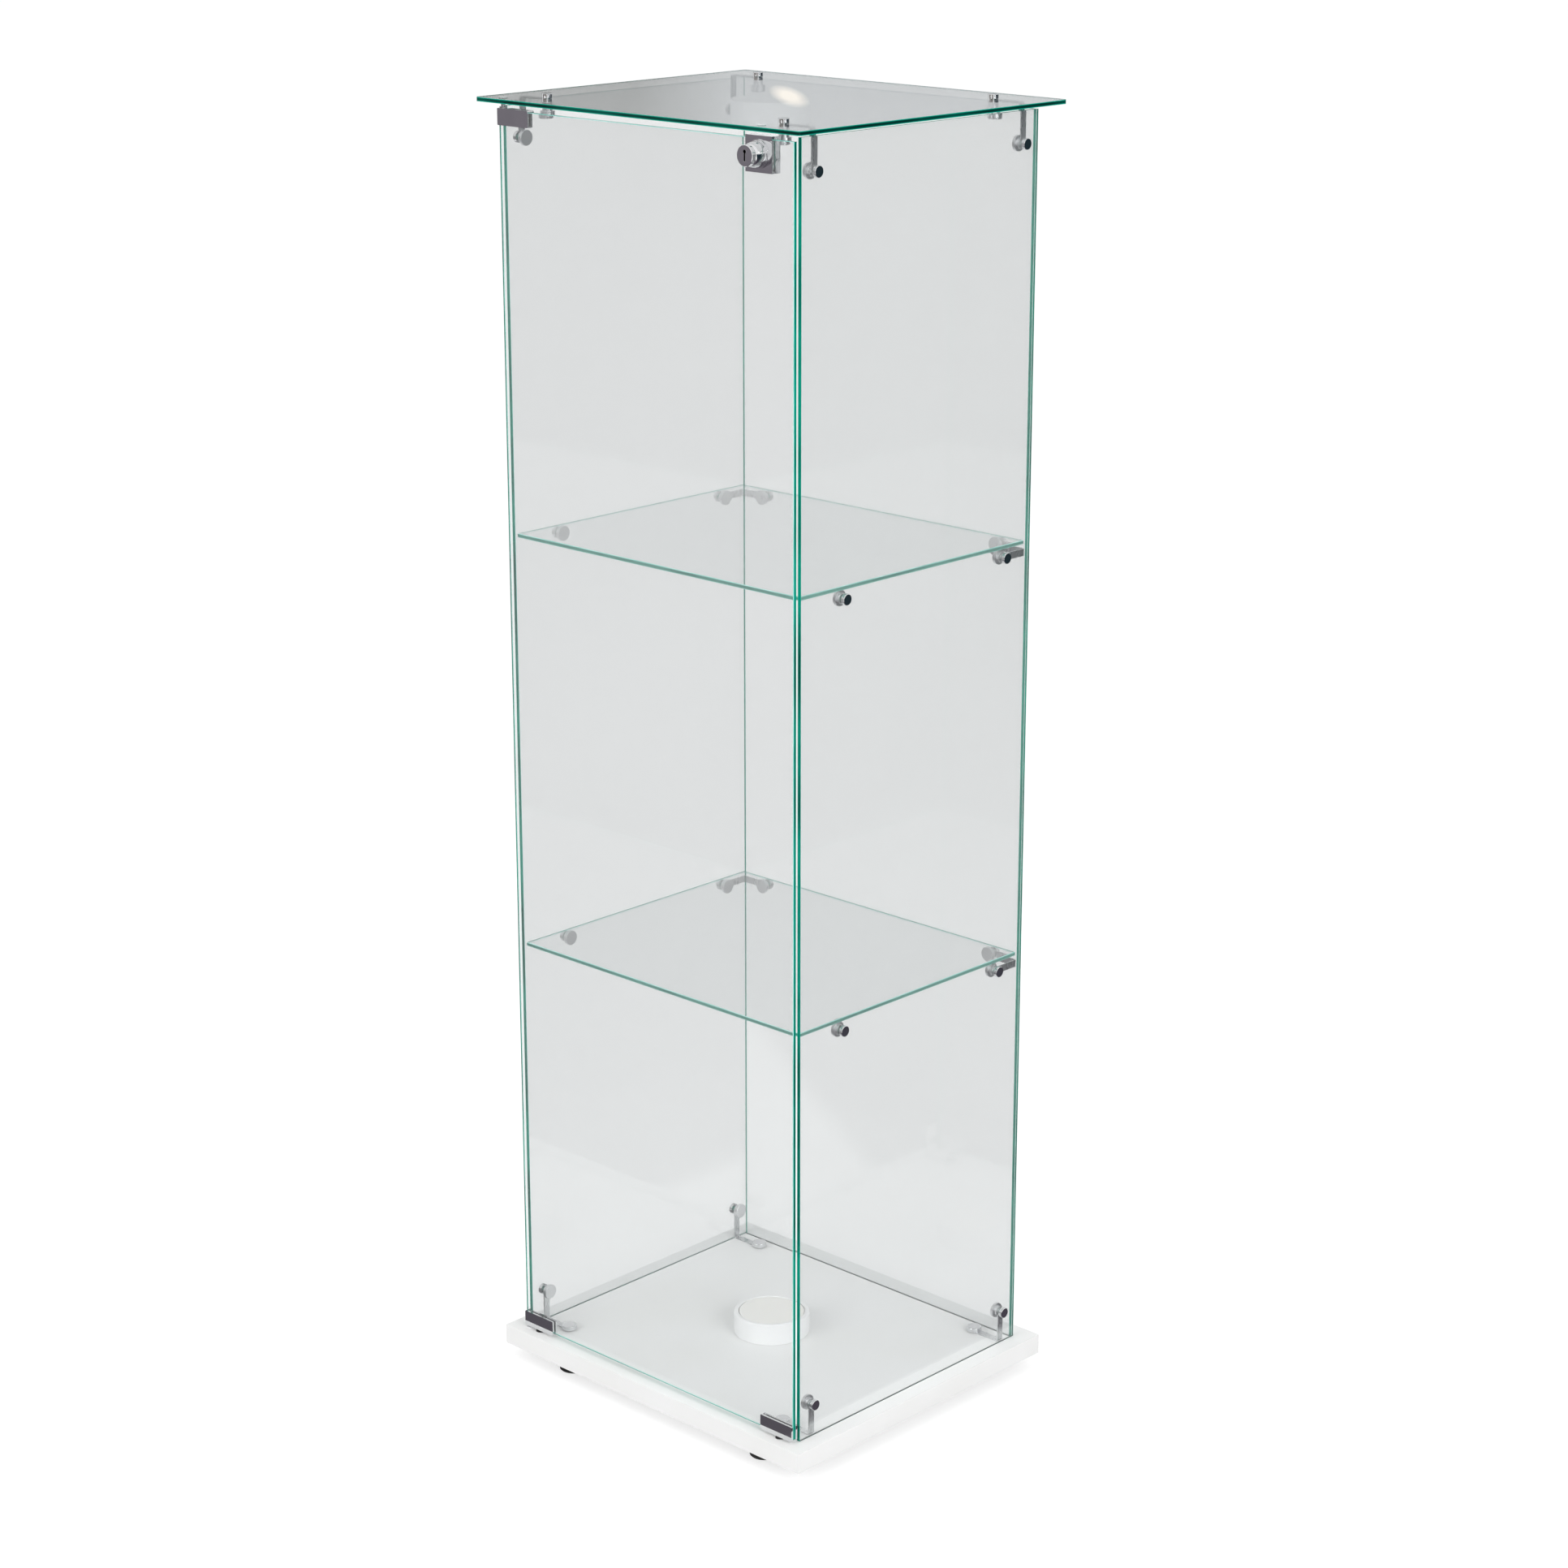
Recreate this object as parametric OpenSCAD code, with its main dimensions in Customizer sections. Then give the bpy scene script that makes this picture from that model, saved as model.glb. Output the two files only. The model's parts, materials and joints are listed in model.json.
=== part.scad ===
// Free-standing glass display cabinet with a lockable pivot door.
// Origin on the floor under the middle of the base board, front towards -Y, all sizes in mm.

/* [Base] */
// Width of the base board and of the top glass
base_w = 400; // [320:1:600]
// Depth of the base board and of the top glass, front to back
base_d = 348; // [300:1:500]
// Thickness of the base board
base_t = 20; // [16:1:40]
// Height of the round feet
foot_h = 14; // [8:0.5:20]
// Diameter of the round feet
foot_d = 28; // [20:1:40]
// Distance from the side of the base board to a foot's centre
foot_side_inset = 69; // [40:1:90]
// Distance from the front or back of the base board to a foot's centre
foot_end_inset = 27; // [16:1:60]

/* [Glass case] */
// Thickness of every glass sheet
glass_t = 4; // [4:0.5:6]
// Height of the side, back and front glass case
case_h = 1200; // [900:5:1500]
// Distance from the side of the base board to a side panel's outer face
side_inset = 16.5; // [8:0.5:40]
// Distance from the front or back of the base board to a side panel's edge
end_inset = 20; // [18:0.5:30]
// Gap between the side panels' top edges and the top glass
top_gap = 4; // [2:0.5:8]
// Gap between the back panel and each side panel
back_panel_gap = 0.3; // [0.1:0.1:1]

/* [Shelves] */
// Height of the lower shelf's underside above the base board
lower_shelf_z = 400; // [250:1:520]
// Height of the upper shelf's underside above the base board
upper_shelf_z = 803; // [600:1:840]
// Gap between a shelf and each side panel
shelf_side_gap = 1; // [0.5:0.1:2]
// Distance from the side panels' front edges back to a shelf
shelf_front_gap = 2; // [1:0.5:20]
// Gap between a shelf and the back panel
shelf_back_gap = 1.5; // [0.5:0.5:10]
// Distance from the side panels' front edges to the front shelf pins
shelf_pin_front = 56; // [30:1:100]
// Distance from the back panel to the rear shelf pins
shelf_pin_back = 31; // [24:1:60]

/* [Door] */
// Gap between the side panels' front edges and the door
door_gap = 4.2; // [4.2:0.1:5]
// Distance from a side panel's outer face in to the door's edge
door_edge_inset = 1.3; // [1:0.1:1.8]
// Gap under the door
door_foot_gap = 4; // [4:0.5:6]
// Gap between the door's top edge and the top glass
door_head_gap = 7; // [6.5:0.5:9]
// Distance from the door's hinged edge in to the pivot axis
pivot_inset = 4; // [3.5:0.1:4]
// Diameter of the pivot pins
pivot_d = 4; // [3:0.5:4.5]

/* [Door clamps] */
// Width of a clamp along the door's edge
clamp_w = 40; // [30:1:60]
// Height of glass that a clamp covers
clamp_grip = 13.6; // [10:0.2:20]
// Thickness of a clamp's front and back plates
clamp_t = 2; // [1.5:0.1:2]
// Thickness of a clamp's bridge over the edge of the glass
clamp_bridge = 1.6; // [1.2:0.1:2]
// Corner radius of the clamp plates
clamp_r = 1; // [1:0.5:5]

/* [Lock] */
// Width and height of the lock's square plate
lock_plate = 31; // [30:1:36]
// Thickness of the lock's front plate
lock_plate_t = 2; // [1.5:0.1:3]
// Thickness of the lock's back plate
lock_back_t = 6; // [4:0.5:7]
// Distance from the door's free edge to the lock's axis
lock_inset = 38.7; // [30:0.1:60]
// Height that the lock's plate stands above the door's top edge
lock_rise = 2.6; // [2.2:0.1:3]
// Diameter of the turning cylinder's head
cylinder_d = 18.4; // [16:0.1:19]
// How far the cylinder's face stands ahead of the front plate
cylinder_reach = 17; // [14:0.5:20]
// Diameter of the ring at the foot of the domed collar
collar_d = 24.6; // [22:0.1:28]
// How far the bolt rises into the top glass
bolt_travel = 8; // [7:0.5:8]
// Diameter of the bolt's round end
bolt_d = 3.6; // [3:0.1:4]

/* [Corner fittings] */
// Width of the bent strips
strip_w = 7; // [6:0.5:9]
// Thickness of the bent strips
strip_t = 1.2; // [1:0.1:2]
// Distance from a side panel's inner face to the pins through the top glass and the base
strip_reach = 33.5; // [26:0.5:50]
// Distance from the top glass down to the side pins
strip_drop = 33.4; // [26:0.1:50]
// Distance from the base board up to the side pins
strip_rise = 31.8; // [26:0.1:50]
// Distance from a side panel's front or rear edge to the corner pins
pin_inset = 18; // [16:0.5:30]
// Diameter of the pin heads on the panels
head_d = 10.4; // [9:0.1:12]
// Height of the pin heads on the panels
head_h = 3.5; // [2:0.1:5]
// Diameter of the pin heads on the top glass
top_head_d = 9.5; // [8:0.1:12]
// Height of the pin heads on the top glass
top_head_h = 3.9; // [2:0.1:5]
// Diameter of the threaded shanks
shank_d = 4; // [3:0.5:4]
// Diameter of the nuts' discs, which also carry the shelves
nut_disc_d = 14.6; // [14:0.1:16]
// Thickness of the nuts' discs
nut_disc_t = 3; // [2:0.1:4]
// Diameter of the nuts' shoulders
nut_neck_d = 10; // [8:0.1:12]
// Length of the nuts' shoulders
nut_neck_t = 3.2; // [2.6:0.1:5]

/* [Push lights] */
// Diameter of a push light
light_d = 72; // [60:1:90]
// Height of a push light
light_h = 22; // [20:0.5:30]
// Diameter of the pressing lens
lens_d = 62; // [52:1:64]
// How far the lens is pressed in
lens_travel = 1.5; // [1:0.1:2]

/* [Hidden] */
$fn = 64;

// Small overlap that lets a cut pass through a face
eps = 0.5;
// Radial play of a fixed bolt or screw in its hole
bolt_play = 0.05;
// Radial play of a turning shaft in its bore
run_play = 0.05;
// Gap kept between pieces that move past each other
move_gap = 0.4;
// Extra radius of the clearance holes in glass
glass_hole_play = 0.5;

deck_z = foot_h + base_t;
case_top_z = deck_z + case_h;
lid_z = case_top_z + top_gap;
lid_top_z = lid_z + glass_t;

side_x = base_w / 2 - side_inset;
side_in_x = side_x - glass_t;
case_y = base_d / 2 - end_inset;
back_y = case_y - glass_t;
shelf_w = 2 * (side_in_x - shelf_side_gap);
shelf_front_y = -case_y + shelf_front_gap;
shelf_d = back_y - shelf_back_gap - shelf_front_y;

pin_y = case_y - pin_inset;
pin_x = side_in_x - strip_reach;
top_side_pin_z = lid_z - strip_drop;
base_side_pin_z = deck_z + strip_rise;
shelf_zs = [deck_z + lower_shelf_z, deck_z + upper_shelf_z];
shelf_front_pin_y = -case_y + shelf_pin_front;
shelf_rear_pin_y = back_y - shelf_pin_back;
shelf_back_pin_x = side_in_x - shelf_pin_back;
shelf_pin_drop = nut_disc_d / 2;

hole_d = shank_d + 2 * glass_hole_play;
tap_d = shank_d + 2 * bolt_play;
head_edge = 0.4;
nut_bore_depth = nut_neck_t + nut_disc_t - 1;
panel_shank = glass_t + strip_t + nut_bore_depth - 0.6;

top_neck_t = 6.3;
top_disc_t = 6.5;
top_disc_d = 13.5;
top_neck_d = top_head_d;
top_shank = glass_t + strip_t + top_neck_t + 2;

cap_d = 15;
cap_h = 4.3;
cap_shank = base_t - 6;

bend_r = 2.4;

foot_screw_d = 3.5;
foot_screw_l = 12;
foot_screw_head_d = 8;
foot_screw_head_h = 2.5;
foot_recess_d = 11;
foot_web = 2.5;

// Door
door_x = side_x - door_edge_inset;
door_rear_y = -case_y - door_gap;
door_y = door_rear_y - glass_t;
door_mid_y = (door_y + door_rear_y) / 2;
door_z = deck_z + door_foot_gap;
door_top_z = lid_z - door_head_gap;
door_h = door_top_z - door_z;
pivot_x = -door_x + pivot_inset;

clamp_h = clamp_grip + clamp_bridge;
clamp_depth = glass_t + 2 * clamp_t;
grub_d = 3;
grub_spacing = 20;
pivot_bore = pivot_d + 2 * run_play;
pin_collar_d = 7;
pin_collar_t = 1.2;
bush_flange_d = 9;
bush_flange_t = 0.8;
bush_d = 7.5;
bush_depth = 11;
pin_tip_gap = 1;
tap_pin_d = pivot_d + 2 * bolt_play;
top_pin_len = door_head_gap + glass_t - pin_tip_gap;
bottom_pin_len = door_foot_gap + bush_depth - pin_tip_gap;
pivot_lower_z = door_z - clamp_bridge;
pivot_upper_z = door_top_z + clamp_bridge;

pad_d = 9;
pad_proud = 1;
pad_depth = 4;
pad_x = door_x - 18;

// Lock
lock_x = door_x - lock_inset;
lock_top_z = door_top_z + lock_rise;
lock_z = lock_top_z - lock_plate / 2;
lock_front_y = door_y - lock_plate_t;
lock_back_y = door_rear_y + lock_back_t;
notch_w = 22;
notch_h = 24.2;
notch_r = 3;
channel_left = 4.4;
channel_right = 9.2;
channel_floor = 2.4;
barrel_d = 15.9;
barrel_bore = barrel_d + 2 * run_play;
cylinder_head_t = 4.2;
cylinder_neck_d = 11;
key_slot_w = 1.6;
key_slot_h = 8;
key_hole_d = 3.2;
key_hole_z = 3.4;
key_slot_depth = 8;
collar_ring_t = 1.5;
collar_step_d = 23.2;
collar_step_t = 2.3;
collar_h = cylinder_reach - cylinder_head_t - 0.3;
collar_mouth_d = 15;
collar_lip = 0.4;
collar_throat = 3;
case_screw_d = 2.5;
case_screw_x = -7.7;
case_screw_zs = [-7.5, 8];
case_screw_depth = 3.4;
case_screw_head_d = 4.6;
case_screw_head_h = 2;
case_screw_sink_d = case_screw_head_d + 2 * bolt_play;

// The crank pin swings from 45 degrees below the axis to 45 degrees above it
crank_r = bolt_travel / (2 * sin(45));
crank_pin_d = 3;
bolt_slot_h = crank_pin_d + 2 * 0.5;
bolt_slide_left = channel_left - move_gap;
bolt_slide_w = channel_left + channel_right - 2 * move_gap;
bolt_slide_t = glass_t - 2 * move_gap;
bolt_slide_h = bolt_slot_h + 3;
bolt_neck_d = bolt_slide_t;
bolt_tip_z = lock_top_z - 0.3;
bolt_pin_z = lock_z - crank_r * sin(45);
keeper_d = 7;
keeper_bore = bolt_d + 1.2;

// Push lights
light_wall = 2;
light_roof = 2;
lens_gap = 0.4;
lens_flange = 1.6;
lens_lip = 1;
light_base_t = 2;
board_t = 1.6;
board_d = 50;
led_d = 5;
led_h = 1.2;
led_ring_d = 30;
led_count = 6;
cell_d = 10.5;
cell_l = 44.5;
cell_pitch = 11.2;
lens_seat_z = light_h - light_roof - lens_flange;
lens_floor_z = light_base_t + cell_d + board_t + led_h + lens_travel + move_gap;

glass_tint = [0.62, 0.82, 0.78, 0.35];

// Flat shapes

module rounded_rect(w, h, r) {
  translate([r, 0]) square([w - 2 * r, h]);
  translate([0, r]) square([w, h - 2 * r]);
  for (x = [r, w - r]) {
    for (y = [r, h - r]) {
      translate([x, y]) circle(r);
    }
  }
}

module bend_outline(run, drop) {
  translate([-run, -strip_t]) square([run - bend_r, strip_t]);
  translate([-strip_t, -drop]) square([strip_t, drop - bend_r]);
  intersection() {
    translate([-bend_r, -bend_r]) square(bend_r);
    translate([-bend_r, -bend_r]) difference() {
      circle(bend_r);
      circle(bend_r - strip_t);
    }
  }
}

// Bent strip with its outer corner at the origin, one leg along -X and one down -Z
module angle_strip(run, drop) {
  difference() {
    union() {
      rotate([90, 0, 0]) linear_extrude(strip_w, center = true) bend_outline(run, drop);
      translate([-run, 0, -strip_t]) cylinder(h = strip_t, d = strip_w);
      translate([-strip_t, 0, -drop]) rotate([0, 90, 0]) cylinder(h = strip_t, d = strip_w);
    }
    translate([-run, 0, -strip_t - eps]) cylinder(h = strip_t + 2 * eps, d = tap_d);
    translate([-strip_t - eps, 0, -drop]) rotate([0, 90, 0]) cylinder(h = strip_t + 2 * eps, d = tap_d);
  }
}

// Bolt along Z: the head stands on z = 0 and the shank hangs below it
module bolt(d, h, shank) {
  rotate_extrude() polygon([
    [0, -shank], [shank_d / 2 - 0.3, -shank], [shank_d / 2, -shank + 0.3], [shank_d / 2, 0],
    [d / 2, 0], [d / 2, h - head_edge], [d / 2 - head_edge, h], [0, h]
  ]);
}

// Nut along Z: the shoulder starts at z = 0 and the disc is below it
module nut(neck_d, neck_t, disc_d, disc_t) {
  difference() {
    rotate_extrude() polygon([
      [0, 0], [neck_d / 2, 0], [neck_d / 2, -neck_t], [disc_d / 2, -neck_t],
      [disc_d / 2, -neck_t - disc_t + head_edge], [disc_d / 2 - head_edge, -neck_t - disc_t],
      [0, -neck_t - disc_t]
    ]);
    translate([0, 0, -neck_t - disc_t + 1]) cylinder(h = neck_t + disc_t, d = tap_d);
  }
}

// Places children with their +Z pointing out of the side panel on the given side
module on_side(side, y, z) {
  translate([side * side_x, y, z]) rotate([0, side * 90, 0]) children();
}

module on_back(x, z) {
  translate([x, case_y, z]) rotate([-90, 0, 0]) children();
}

// Glass case

module corner_hole_set(side) {
  for (y = [-pin_y, pin_y]) {
    for (z = [base_side_pin_z, top_side_pin_z]) {
      on_side(side, y, z) translate([0, 0, -glass_t - eps]) cylinder(h = glass_t + 2 * eps, d = hole_d);
    }
  }
}

module shelf_hole_set(side) {
  for (y = [shelf_front_pin_y, shelf_rear_pin_y]) {
    for (z = shelf_zs) {
      on_side(side, y, z - shelf_pin_drop) {
        translate([0, 0, -glass_t - eps]) cylinder(h = glass_t + 2 * eps, d = hole_d);
      }
    }
  }
}

module side_panel(side) {
  color(glass_tint) difference() {
    translate([side < 0 ? -side_x : side_in_x, -case_y, deck_z]) cube([glass_t, 2 * case_y, case_h]);
    corner_hole_set(side);
    shelf_hole_set(side);
  }
}

module left_side_panel() {
  side_panel(-1);
}

module right_side_panel() {
  side_panel(1);
}

module back_panel() {
  w = 2 * (side_in_x - back_panel_gap);
  color(glass_tint) difference() {
    translate([-w / 2, back_y, deck_z]) cube([w, glass_t, case_h]);
    for (x = [-shelf_back_pin_x, shelf_back_pin_x]) {
      for (z = shelf_zs) {
        on_back(x, z - shelf_pin_drop) {
          translate([0, 0, -glass_t - eps]) cylinder(h = glass_t + 2 * eps, d = hole_d);
        }
      }
    }
  }
}

module top_panel() {
  corner_r = 3;
  color(glass_tint) difference() {
    translate([-base_w / 2, -base_d / 2, lid_z]) {
      linear_extrude(glass_t) rounded_rect(base_w, base_d, corner_r);
    }
    for (x = [-pin_x, pin_x]) {
      for (y = [-pin_y, pin_y]) {
        translate([x, y, lid_z - eps]) cylinder(h = glass_t + 2 * eps, d = hole_d);
      }
    }
    translate([pivot_x, door_mid_y, lid_z - eps]) {
      cylinder(h = glass_t + 2 * eps, d = bush_d + 2 * bolt_play);
    }
    translate([lock_x, door_mid_y, lid_z - eps]) {
      cylinder(h = glass_t + 2 * eps, d = keeper_d + 2 * bolt_play);
    }
  }
}

module shelf(z) {
  color(glass_tint) translate([-shelf_w / 2, shelf_front_y, z]) cube([shelf_w, shelf_d, glass_t]);
}

module lower_shelf() {
  shelf(shelf_zs[0]);
}

module upper_shelf() {
  shelf(shelf_zs[1]);
}

// Base

module at_feet() {
  for (x = [-1, 1]) {
    for (y = [-1, 1]) {
      translate([x * (base_w / 2 - foot_side_inset), y * (base_d / 2 - foot_end_inset), 0]) children();
    }
  }
}

module base_board() {
  color([0.95, 0.95, 0.96]) difference() {
    translate([-base_w / 2, -base_d / 2, foot_h]) cube([base_w, base_d, base_t]);
    at_feet() translate([0, 0, foot_h - eps]) {
      cylinder(h = foot_screw_l + eps, d = foot_screw_d + 2 * bolt_play);
    }
    for (x = [-pin_x, pin_x]) {
      for (y = [-pin_y, pin_y]) {
        translate([x, y, deck_z - cap_shank - eps]) cylinder(h = cap_shank + 2 * eps, d = tap_d);
      }
    }
    translate([pivot_x, door_mid_y, deck_z - bush_depth]) {
      cylinder(h = bush_depth + eps, d = bush_d + 2 * bolt_play);
    }
    for (x = [-pad_x, pad_x]) {
      translate([x, door_mid_y, deck_z - pad_depth]) cylinder(h = pad_depth + eps, d = pad_d + 2 * bolt_play);
    }
  }
}

module feet() {
  color([0.09, 0.09, 0.1]) at_feet() difference() {
    rotate_extrude() polygon([
      [0, 0], [foot_d / 2 - 1, 0], [foot_d / 2, 1], [foot_d / 2 - 0.6, foot_h], [0, foot_h]
    ]);
    translate([0, 0, -eps]) cylinder(h = foot_h - foot_web + eps, d = foot_recess_d);
    cylinder(h = foot_h + eps, d = foot_screw_d + 2 * glass_hole_play);
  }
}

module foot_screws() {
  color([0.6, 0.6, 0.62]) at_feet() translate([0, 0, foot_h - foot_web]) {
    translate([0, 0, -foot_screw_head_h]) cylinder(h = foot_screw_head_h, d = foot_screw_head_d);
    cylinder(h = foot_web + foot_screw_l - 1, d = foot_screw_d);
  }
}

// Brackets

module top_bracket(side, end) {
  color([0.78, 0.79, 0.8]) translate([side * side_in_x, end * pin_y, lid_z]) {
    mirror([side < 0 ? 1 : 0, 0, 0]) angle_strip(strip_reach, strip_drop);
  }
}

module base_bracket(side, end) {
  color([0.78, 0.79, 0.8]) translate([side * side_in_x, end * pin_y, deck_z]) {
    mirror([side < 0 ? 1 : 0, 0, 0]) mirror([0, 0, 1]) angle_strip(strip_reach, strip_rise);
  }
}

module shelf_bracket(side, z) {
  color([0.78, 0.79, 0.8]) translate([side * side_in_x, back_y, z - shelf_pin_drop]) {
    mirror([side < 0 ? 1 : 0, 0, 0]) rotate([-90, 0, 0]) angle_strip(shelf_pin_back, shelf_pin_back);
  }
}

module top_bracket_front_left() {
  top_bracket(-1, -1);
}

module top_bracket_front_right() {
  top_bracket(1, -1);
}

module top_bracket_rear_left() {
  top_bracket(-1, 1);
}

module top_bracket_rear_right() {
  top_bracket(1, 1);
}

module base_bracket_front_left() {
  base_bracket(-1, -1);
}

module base_bracket_front_right() {
  base_bracket(1, -1);
}

module base_bracket_rear_left() {
  base_bracket(-1, 1);
}

module base_bracket_rear_right() {
  base_bracket(1, 1);
}

module lower_shelf_bracket_left() {
  shelf_bracket(-1, shelf_zs[0]);
}

module lower_shelf_bracket_right() {
  shelf_bracket(1, shelf_zs[0]);
}

module upper_shelf_bracket_left() {
  shelf_bracket(-1, shelf_zs[1]);
}

module upper_shelf_bracket_right() {
  shelf_bracket(1, shelf_zs[1]);
}

// Bolts and nuts

module at_top_pins() {
  for (x = [-pin_x, pin_x]) {
    for (y = [-pin_y, pin_y]) {
      translate([x, y, 0]) children();
    }
  }
}

module top_panel_bolts() {
  color("silver") at_top_pins() translate([0, 0, lid_top_z]) bolt(top_head_d, top_head_h, top_shank);
}

module top_panel_nuts() {
  color("silver") at_top_pins() translate([0, 0, lid_z - strip_t]) {
    nut(top_neck_d, top_neck_t, top_disc_d, top_disc_t);
  }
}

module at_corner_pins() {
  for (side = [-1, 1]) {
    for (y = [-pin_y, pin_y]) {
      for (z = [base_side_pin_z, top_side_pin_z]) {
        on_side(side, y, z) children();
      }
    }
  }
}

module corner_bolts() {
  color("silver") at_corner_pins() bolt(head_d, head_h, panel_shank);
}

module corner_nuts() {
  color("silver") at_corner_pins() translate([0, 0, -glass_t - strip_t]) {
    nut(nut_neck_d, nut_neck_t, nut_disc_d, nut_disc_t);
  }
}

module shelf_bolts() {
  color("silver") for (z = shelf_zs) {
    for (side = [-1, 1]) {
      on_side(side, shelf_front_pin_y, z - shelf_pin_drop) bolt(head_d, head_h, panel_shank - strip_t);
      on_side(side, shelf_rear_pin_y, z - shelf_pin_drop) bolt(head_d, head_h, panel_shank);
      on_back(side * shelf_back_pin_x, z - shelf_pin_drop) bolt(head_d, head_h, panel_shank);
    }
  }
}

module shelf_nuts() {
  color("silver") for (z = shelf_zs) {
    for (side = [-1, 1]) {
      on_side(side, shelf_front_pin_y, z - shelf_pin_drop) translate([0, 0, -glass_t]) {
        nut(nut_neck_d, nut_neck_t, nut_disc_d, nut_disc_t);
      }
      on_side(side, shelf_rear_pin_y, z - shelf_pin_drop) translate([0, 0, -glass_t - strip_t]) {
        nut(nut_neck_d, nut_neck_t, nut_disc_d, nut_disc_t);
      }
      on_back(side * shelf_back_pin_x, z - shelf_pin_drop) translate([0, 0, -glass_t - strip_t]) {
        nut(nut_neck_d, nut_neck_t, nut_disc_d, nut_disc_t);
      }
    }
  }
}

module base_bracket_screws() {
  color("silver") at_top_pins() translate([0, 0, deck_z + strip_t]) {
    rotate_extrude() polygon([
      [0, -strip_t - cap_shank + 1], [shank_d / 2, -strip_t - cap_shank + 1], [shank_d / 2, 0],
      [cap_d / 2, 0], [cap_d / 2, cap_h - 1], [cap_d / 2 - 1, cap_h], [0, cap_h]
    ]);
  }
}

// Door

module lock_notch() {
  translate([lock_x - notch_w / 2, door_rear_y, door_top_z - notch_h]) rotate([90, 0, 0]) {
    translate([0, 0, -eps]) linear_extrude(glass_t + 2 * eps) {
      translate([0, notch_r]) square([notch_w, notch_h]);
      rounded_rect(notch_w, 3 * notch_r, notch_r);
    }
  }
}

module door_panel() {
  color(glass_tint) difference() {
    translate([-door_x, door_y, door_z]) cube([2 * door_x, glass_t, door_h]);
    lock_notch();
  }
}

// Clamp that hugs the bottom edge of the door, its left end at x = 0, its bridge's foot at z = 0
module door_clamp() {
  difference() {
    translate([0, door_y - clamp_t, 0]) difference() {
      translate([0, clamp_depth, 0]) rotate([90, 0, 0]) {
        linear_extrude(clamp_depth) rounded_rect(clamp_w, clamp_h, clamp_r);
      }
      translate([-eps, clamp_t, clamp_bridge]) cube([clamp_w + 2 * eps, glass_t, clamp_h]);
    }
    for (s = [-1, 1]) {
      translate([clamp_w / 2 + s * grub_spacing / 2, door_rear_y - eps, clamp_bridge + clamp_grip / 2]) {
        rotate([-90, 0, 0]) cylinder(h = clamp_t + 2 * eps, d = grub_d);
      }
    }
  }
}

module pivot_hole() {
  translate([pivot_inset, door_mid_y, -eps]) cylinder(h = clamp_bridge + 2 * eps, d = tap_pin_d);
}

module top_hinge_clamp() {
  color("silver") translate([-door_x, 0, pivot_upper_z]) mirror([0, 0, 1]) difference() {
    door_clamp();
    pivot_hole();
  }
}

module bottom_hinge_clamp() {
  color("silver") translate([-door_x, 0, pivot_lower_z]) difference() {
    door_clamp();
    pivot_hole();
  }
}

module strike_clamp() {
  color("silver") translate([door_x - clamp_w, 0, pivot_lower_z]) door_clamp();
}

module grub_pair() {
  for (s = [-1, 1]) {
    translate([clamp_w / 2 + s * grub_spacing / 2, door_rear_y, clamp_bridge + clamp_grip / 2]) {
      rotate([-90, 0, 0]) cylinder(h = clamp_t, d = grub_d - 2 * bolt_play);
    }
  }
}

module clamp_grub_screws() {
  color("gray") {
    translate([-door_x, 0, pivot_upper_z]) mirror([0, 0, 1]) grub_pair();
    translate([-door_x, 0, pivot_lower_z]) grub_pair();
    translate([door_x - clamp_w, 0, pivot_lower_z]) grub_pair();
  }
}

// Pin standing up from the glass edge through the clamp's bridge
module pivot_pin(len) {
  cylinder(h = len, d = pivot_d);
  translate([0, 0, clamp_bridge]) cylinder(h = pin_collar_t, d = pin_collar_d);
}

module top_pivot_pin() {
  color("gray") translate([pivot_x, door_mid_y, door_top_z]) pivot_pin(top_pin_len);
}

module bottom_pivot_pin() {
  color("gray") translate([pivot_x, door_mid_y, door_z]) mirror([0, 0, 1]) pivot_pin(bottom_pin_len);
}

module top_pivot_bushing() {
  color([0.85, 0.87, 0.88]) translate([pivot_x, door_mid_y, lid_z]) difference() {
    union() {
      cylinder(h = glass_t, d = bush_d);
      translate([0, 0, -bush_flange_t]) cylinder(h = bush_flange_t, d = bush_flange_d);
    }
    translate([0, 0, -bush_flange_t - eps]) cylinder(h = glass_t + bush_flange_t, d = pivot_bore);
  }
}

module bottom_pivot_bushing() {
  color([0.85, 0.87, 0.88]) translate([pivot_x, door_mid_y, deck_z]) difference() {
    union() {
      translate([0, 0, -bush_depth]) cylinder(h = bush_depth, d = bush_d);
      cylinder(h = bush_flange_t, d = bush_flange_d);
    }
    translate([0, 0, -bush_depth + eps]) cylinder(h = bush_depth + bush_flange_t, d = pivot_bore);
  }
}

// Round plug sunk in the base board, standing a little proud
module deck_plug(x) {
  color([0.08, 0.08, 0.09]) translate([x, door_mid_y, deck_z - pad_depth]) {
    cylinder(h = pad_depth + pad_proud, d = pad_d);
  }
}

module catch_magnet() {
  deck_plug(pad_x);
}

module hinge_rest_pad() {
  deck_plug(-pad_x);
}

// Lock

module at_lock() {
  translate([lock_x, 0, lock_z]) children();
}

// Cylinder along +Y that starts at the given y
module along_y(y, len, d) {
  translate([0, y, 0]) rotate([-90, 0, 0]) cylinder(h = len, d = d);
}

// Straight bores or shanks at the two screws that hold the back plate to the case
module at_case_screws(y, len, d) {
  for (z = case_screw_zs) {
    translate([case_screw_x, 0, z]) along_y(y, len, d);
  }
}

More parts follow.
